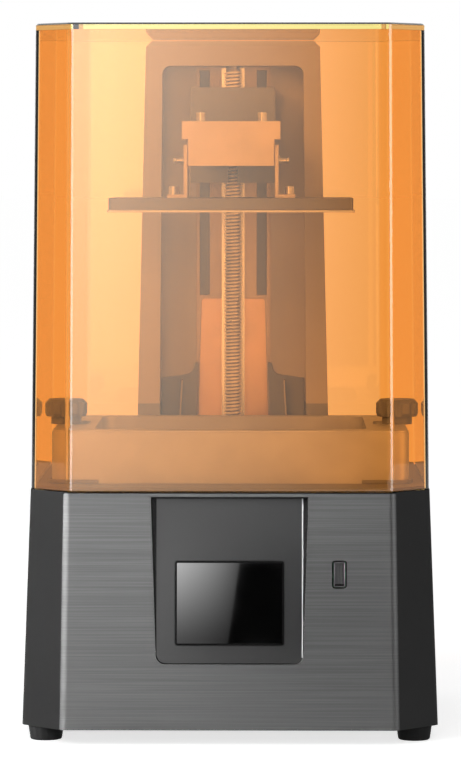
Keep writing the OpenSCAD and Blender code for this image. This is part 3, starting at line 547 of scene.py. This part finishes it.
detail = {
    # heights, depths and widths in mm
    "columnDarkerBelow": 174.0,                                    # top of the column's darker lower band
    "plateBottom": 286.5, "plateLip": 1.15,                 # bright machined lip of the plate
    "grooveFront": 93.0, "grooveIn": 13.8, "grooveOut": 19.6,
    "ribFront": 86.0,                                       # front edges of the foot brackets' ribs, painted lighter as a painted highlight
    "glassBorder": 1.0, "glassFace": 1e-3,                  # glass face: anything over this in m2
    "consoleHalf": 38.5, "consoleLow": 52, "bead": 0.55, "cornerClear": 3,
    "sheetTop": 135.8,
    "socketX": 59.2, "socketZ": 92.3, "socketWide": 4.8, "socketHigh": 8.4, "socketEdge": 0.5,
}


def cutLevel(piece, level):
    openEdit(piece)
    bpy.ops.mesh.select_all(action="SELECT")
    bpy.ops.mesh.bisect(plane_co=(0, 0, level * mm), plane_no=(0, 0, 1))
    closeEdit()


def insetGlass(glass):
    # leaves room for a narrow border round the touch glass
    openEdit(glass)
    pick(glass, "FACE", lambda face, at: (face.normal.y < -0.9
                                          and face.calc_area() > detail["glassFace"]))
    bpy.ops.mesh.inset(thickness=detail["glassBorder"] * mm)
    closeEdit()


def beadConsole(console):
    # a flat bead between the console's face and its right wall, and one along its lower edge
    half, low = detail["consoleHalf"] * mm, detail["consoleLow"] * mm

    def facing(edge, towards):
        # true if one side of the edge is the console's face and the other looks that way
        ways = [face.normal for face in edge.link_faces]
        return any(way.y < -0.9 for way in ways) and any(towards(way) for way in ways)

    for wanted in (
            lambda edge, at: at.x > half and facing(edge, lambda way: way.x < -0.6),
            lambda edge, at: (at.z < low and at.x < half - detail["cornerClear"] * mm
                              and facing(edge, lambda way: way.z < -0.35))):
        openEdit(console)
        pick(console, "EDGE", wanted)
        bpy.ops.mesh.bevel(offset=detail["bead"] * mm, segments=1, affect="EDGES")
        closeEdit()


def nearSocket(at):
    # true close to the mouth of the data socket
    return (abs(at.x - detail["socketX"] * mm) < detail["socketWide"] * mm
            and abs(at.z - detail["socketZ"] * mm) < detail["socketHigh"] * mm)


def shapeSheet(sheet):
    cutLevel(sheet, detail["sheetTop"])
    openEdit(sheet)
    pick(sheet, "EDGE", lambda edge, at: nearSocket(at) and edge.calc_face_angle(0) > 1
         and any(face.normal.y < -0.9 for face in edge.link_faces))
    bpy.ops.mesh.bevel(offset=detail["socketEdge"] * mm, segments=1, affect="EDGES")
    closeEdit()


cuts = {
    "front_panel": shapeSheet,
    "column_cover": lambda piece: cutLevel(piece, detail["columnDarkerBelow"]),
    "build_plate": lambda piece: cutLevel(piece, detail["plateBottom"] + detail["plateLip"]),
    "touch_glass": insetGlass,
    "console_bezel": beadConsole,
}

rounded = {}
for nodeName, (pieceName, width, segments) in softEdges.items():
    piece = mergedCopy(nodeName, pieceName)
    if nodeName in cuts:
        cuts[nodeName](piece)
    rounded[nodeName] = finishCopy(piece, nodeName, width, segments)
print("edges rounded on", len(softEdges), "parts")


# tinted cover

cover = {"bottomBevel": 0.5, "lidBevel": 1.0, "bottom": 136.5, "top": 389}


def bevelEdges(piece, width, segments, test):
    openEdit(piece)
    pick(piece, "EDGE", test)
    bpy.ops.mesh.bevel(offset=width * mm, segments=segments, affect="EDGES")
    closeEdit()


def paintFaces(piece, finishName, test):
    # a second finish on the faces that pass the test
    piece.data.materials.append(finishes[finishName])
    for face in piece.data.polygons:
        if test(face.normal, face.center):
            face.material_index = len(piece.data.materials) - 1


def makeCover():
    walls = mergedCopy("cover_walls", "coverWalls")
    bottom, top = cover["bottom"] * mm, cover["top"] * mm
    bevelEdges(walls, cover["bottomBevel"], 1,
               lambda edge, at: at.z < bottom + 1e-5 and edge.calc_face_angle(0) > 1)
    finishCopy(walls, "cover_walls", 0, 1, 40)
    # painted shade: light crosses the slanting corners on a longer way, so they are painted a
    # deeper tint
    paintFaces(walls, "coverCorner", lambda normal, at: min(abs(normal.x), abs(normal.y)) > 0.5)
    # painted shade: a dark tint on the cover's bottom bevel gives its dark outline
    paintFaces(walls, "coverBevelShade", lambda normal, at: normal.z < -0.3 and at.z < bottom + 2 * mm)
    lid = mergedCopy("cover_top_plate", "coverTopPlate")
    bevelEdges(lid, cover["lidBevel"], 1,
               lambda edge, at: at.z > top - 1e-5 and edge.calc_face_angle(0) > 1)
    finishCopy(lid, "cover_top_plate", 0, 1, 40)
    # painted highlight: the lid's edges get a paler yellow tint that stands in for the light they
    # gather
    paintFaces(lid, "lidEdgeGlow", lambda normal, at: abs(normal.z) < 0.2)
    # painted shade: a darker tint on the lid's slanting corner edges
    paintFaces(lid, "lidCorner", lambda normal, at: abs(normal.z) < 0.2 and
               min(abs(normal.x), abs(normal.y)) > 0.3)
    # painted shade: a dark olive tint on the lid's top bevel gives its dark outline
    paintFaces(lid, "lidBevel", lambda normal, at: 0.2 < normal.z < 0.98)


makeCover()
print("cover edges finished")


# second finishes on the rounded copies

def dressParts():
    paintFaces(rounded["column_cover"], "columnDarkerBelow",
               lambda normal, at: at.z < detail["columnDarkerBelow"] * mm)
    lip = detail["plateBottom"] + detail["plateLip"]
    paintFaces(rounded["build_plate"], "plateLip",
               lambda normal, at: at.z < lip * mm and abs(normal.z) < 0.9)
    # painted shade: the floors of the spine's grooves are painted darker than the spine
    paintFaces(rounded["column_spine"], "grooveShade", lambda normal, at: (
        at.y > detail["grooveFront"] * mm and normal.y < -0.9
        and detail["grooveIn"] * mm < abs(at.x) < detail["grooveOut"] * mm))
    # painted shadow: the upper edges of the sheet and housing, in the dark gap under the cover,
    # are painted near-black
    for nodeName in ("front_panel", "base_shell"):
        paintFaces(rounded[nodeName], "paintedShadow",
                   lambda normal, at: at.z > detail["sheetTop"] * mm)
    # painted shade: black round the socket's mouth and on the socket shell's inner walls
    paintFaces(rounded["front_panel"], "shadeAndBorderBlack", lambda normal, at: nearSocket(at))
    paintFaces(rounded["usb_shell"], "shadeAndBorderBlack", lambda normal, at: abs(normal.y) < 0.7)
    glass = rounded["touch_glass"]
    paintFaces(glass, "shadeAndBorderBlack", lambda normal, at: True)
    for face in glass.data.polygons:
        if face.area > detail["glassFace"] and face.normal.y < -0.9:
            face.material_index = 0
    console = rounded["console_bezel"]
    half = detail["consoleHalf"] * mm
    # painted shadow on the right wall, the lower edge, and the rim that lies in the plane of the
    # front sheet
    paintFaces(console, "paintedShadow", lambda normal, at: (
        (normal.x < -0.7 and at.x > half) or (normal.y < -0.95 and abs(normal.z) < 0.07)
        or (at.z < detail["consoleLow"] * mm and normal.z < -0.2)))
    # painted highlight on the bead between the console's face and its right wall
    paintFaces(console, "bead", lambda normal, at: (
        at.x > half - mm and -0.7 < normal.x < -0.3 and normal.y < -0.7))
    # painted highlight: the ribs' front edges take the lighter column paint
    for side in ("left", "right"):
        paintFaces(rounded["foot_bracket_" + side], "column",
                   lambda normal, at: normal.y < -0.5 and at.y < detail["ribFront"] * mm)


dressParts()
print("second finishes on")


# studio

studio = {
    "floorHalf": 40.0, "floorShade": 0.62, "floorGlow": 0.735,    # pale floor that reads white
    "worldPlain": 0.42,                                           # light from all round
    # fill from the left
    "lampPlace": (-1.3, -1.2, 1.25), "lampSize": 0.9, "lampPower": 15.5,
    "lampAim": (0, 0, 0.2),
    # the key softbox: brightest at its left end, fading to nothing at its right end
    "keyLeft": -0.75, "keyRight": 0.16, "keyLow": -0.05, "keyHigh": 1.3, "keyDistance": -2.5,
    "keyLowLevel": 3.0, "keyHighLevel": 6.1, "keyFadeFrom": -0.2, "keyClimb": 0.5,
    # panels round the table
    "sideGlow": 0.35, "panelHalf": 2.7, "panelHigh": 1.7,
    # a pair in front of the touch glass: a glowing card and a black one, with a slanting joint
    "pairDistance": -0.335, "pairHalf": 0.045, "pairLow": 0.069, "pairHigh": 0.1225,
    "pairLowLevel": 1.0, "pairHighLevel": 8.6, "pairCurve": 1.5,
    "pairFade": 0.12, "pairFadeFrom": -0.034, "pairFadeTo": 0.004,
    "jointLow": -0.0039, "jointHigh": 0.0038,
}

view = {"place": (0.0229, -2.2134, 0.310), "pitchDown": 3.106, "yawLeft": 0.61, "lens": 184.4}


def addCard(name, middle, width, height, facing, shader, lights=False, throughCover=False):
    # an upright card; facing is the angle from -Y towards +X that it is turned by
    startClean()
    bpy.ops.mesh.primitive_plane_add(size=1, location=middle,
                                     rotation=(math.radians(90), 0, math.radians(facing)))
    card = bpy.context.object
    card.name = name
    card.scale = (width, height, 1)
    bakePlace(card)
    card.visible_camera = False
    card.visible_transmission = throughCover
    card.visible_glossy = not throughCover
    card.visible_shadow = False
    card.visible_diffuse = lights
    card.data.materials.append(shader)


def placeParts(look):
    # x and z in metres
    where = look.node("ShaderNodeTexCoord", out=3)
    return (look.node("ShaderNodeSeparateXYZ", None, {0: where}, out=0),
            look.node("ShaderNodeSeparateXYZ", None, {0: where}, out=2))


def keyGlow(name, onlyMirrored=False):
    # bright at the left, gone at the right, and stronger towards the top
    look = Finish(name)
    across, upwards = placeParts(look)
    fall = look.span(across, studio["keyFadeFrom"], studio["keyRight"], 1.0, 0.0)
    level = look.span(upwards, 0.0, studio["keyClimb"],
                      studio["keyLowLevel"], studio["keyHighLevel"])
    glow = look.node("ShaderNodeEmission", None, {"Strength": fall * level})
    return look.done(afterMirror(look, glow) if onlyMirrored else glow)


def afterMirror(look, glow):
    # there only for light that something glossy inside the cover has mirrored on its way
    mirrored = look.node("ShaderNodeLightPath", out=9)
    clear = look.node("ShaderNodeBsdfTransparent")
    return look.node("ShaderNodeMixShader", None, {
        0: mirrored.maths("GREATER_THAN", mirrored, 0.5), 1: clear, 2: glow})


def pairGlow():
    look = Finish("low card glow")
    across, upwards = placeParts(look)
    climb = look.span(upwards, studio["pairLow"], studio["pairHigh"], 0.0, 1.0)
    low = studio["pairLowLevel"]
    level = climb ** studio["pairCurve"] * (studio["pairHighLevel"] - low) + low
    fade = look.span(across, studio["pairFadeFrom"], studio["pairFadeTo"],
                     1.0, studio["pairFade"])
    return look.done(look.node("ShaderNodeEmission", None, {"Strength": level * fade}))


def plainGlow(name, level):
    look = Finish(name)
    return look.done(look.node("ShaderNodeEmission", None, {"Strength": level}))


def mirrorGlow(name, level):
    # only seen in gloss outside the cover, and never reached for as a lamp
    glow = plainGlow(name, level)
    glow.cycles.emission_sampling = "NONE"
    return glow


# narrow cards that only show in gloss
# card: (its glow's name, kind of glow, strength, middle, width, height, facing)
strips = {
    "leftStrip": ("left strip glow", mirrorGlow, 11.0, (-0.6, -2.22, 0.5), 0.81, 1.3, -15),
    "sideStrip": ("side strip glow", mirrorGlow, 120.0, (-1.845, -1.2, 1.0), 2.24, 0.8, -57),
    "rightStrip": ("right strip glow", plainGlow, 7.0, (1.5, -1.3, 0.5), 0.9, 1.3, 48),
}


def addCards():
    low, high = studio["keyLow"], studio["keyHigh"]
    left, right = studio["keyLeft"], studio["keyRight"]
    key = ((left + right) / 2, studio["keyDistance"], (low + high) / 2)
    addCard("keySoftbox", key, right - left, high - low, 0,
            keyGlow("key softbox glow"), lights=True)
    addCard("keyBehindCover", key, right - left, high - low, 0,
            keyGlow("mirrored softbox glow", onlyMirrored=True), throughCover=True)
    for name, (glowName, makeGlow, level, middle, width, height, facing) in strips.items():
        addCard(name, middle, width, height, facing, makeGlow(glowName, level))
    half, tall = studio["panelHalf"], studio["panelHigh"]
    for side, across, ahead, facing, level in (("front", 0, -1, 0, 0.0),
                                               ("left", -1, 0, -90, studio["sideGlow"]),
                                               ("right", 1, 0, 90, studio["sideGlow"])):
        addCard(side + "Panel", (across * half, ahead * half, tall / 2), 2 * half, tall, facing,
                plainGlow(side + " panel cloth", level))
    addLowPair()


def addLowPair():
    # the two low cards; their meeting edges lean as one line
    half, low, high = studio["pairHalf"], studio["pairLow"], studio["pairHigh"]
    middle = (low + high) / 2
    for name, outer, shader in (("lowGlowCard", -half, pairGlow()),
                                ("lowBlackCard", half, plainGlow("low black cloth", 0.0))):
        addCard(name, (outer / 2, studio["pairDistance"], middle), half, high - low, 0, shader)
        card = bpy.context.object
        openEdit(card)
        for end, joint in ((-1, studio["jointLow"]), (1, studio["jointHigh"])):
            pick(card, "VERT", lambda vert, at: abs(at.x) < 1e-4 and (at.z - middle) * end > 0)
            bpy.ops.transform.translate(value=(joint, 0, 0))
        closeEdit()


def addLamp():
    data = bpy.data.lights.new("fillLamp", "AREA")
    data.shape = "DISK"
    data.size = studio["lampSize"]
    data.energy = studio["lampPower"]
    lamp = bpy.data.objects.new("fillLamp", data)
    bpy.context.collection.objects.link(lamp)
    lamp.location = studio["lampPlace"]
    towards = Vector(studio["lampAim"]) - lamp.location
    lamp.rotation_euler = towards.to_track_quat("-Z", "Y").to_euler()
    lamp.visible_glossy = False
    lamp.visible_transmission = False
    lamp.visible_camera = False


def addFloor():
    startClean()
    bpy.ops.mesh.primitive_plane_add(size=2 * studio["floorHalf"], location=(0, 0, 0))
    floor = bpy.context.object
    floor.name = "studioFloor"
    look = Finish("studio floor")
    level = studio["floorShade"]
    matt = look.node("ShaderNodeBsdfDiffuse", None, {"Color": (level, level, level, 1)})
    glow = look.node("ShaderNodeEmission", None,
                     {"Strength": shownDirectly(look) * studio["floorGlow"]})
    look.done(look.node("ShaderNodeAddShader", None, {0: matt, 1: glow}))
    floor.data.materials.append(look.material)


def shownDirectly(look):
    # 1 for rays from the camera, off a glossy surface or through clear sheet, otherwise 0
    camera = look.node("ShaderNodeLightPath", out=0)
    glossy = look.node("ShaderNodeLightPath", out=3)
    clear = look.node("ShaderNodeLightPath", out=6)
    return camera.maths("MAXIMUM", camera, glossy.maths("MAXIMUM", glossy, clear))


def addWorld():
    world = bpy.data.worlds.new("studio world")
    world.use_nodes = True
    bpy.context.scene.world = world
    sky = Finish("sky", world.node_tree)
    plain = studio["worldPlain"]
    strength = plain + shownDirectly(sky) * (1 - plain)
    light = sky.node("ShaderNodeBackground", None, {"Color": (1, 1, 1, 1), "Strength": strength})
    sky.node("ShaderNodeOutputWorld", None, {"Surface": light})


def addCamera():
    data = bpy.data.cameras.new("camera")
    data.lens = view["lens"]
    data.sensor_width = 36
    data.clip_end = 90
    camera = bpy.data.objects.new("camera", data)
    bpy.context.collection.objects.link(camera)
    camera.location = view["place"]
    camera.rotation_euler = (math.radians(90 - view["pitchDown"]), 0,
                             math.radians(view["yawLeft"]))
    bpy.context.scene.camera = camera


addFloor()
addWorld()
addCamera()
addCards()
addLamp()
bpy.context.scene.view_settings.view_transform = "Standard"
print("studio and camera set")
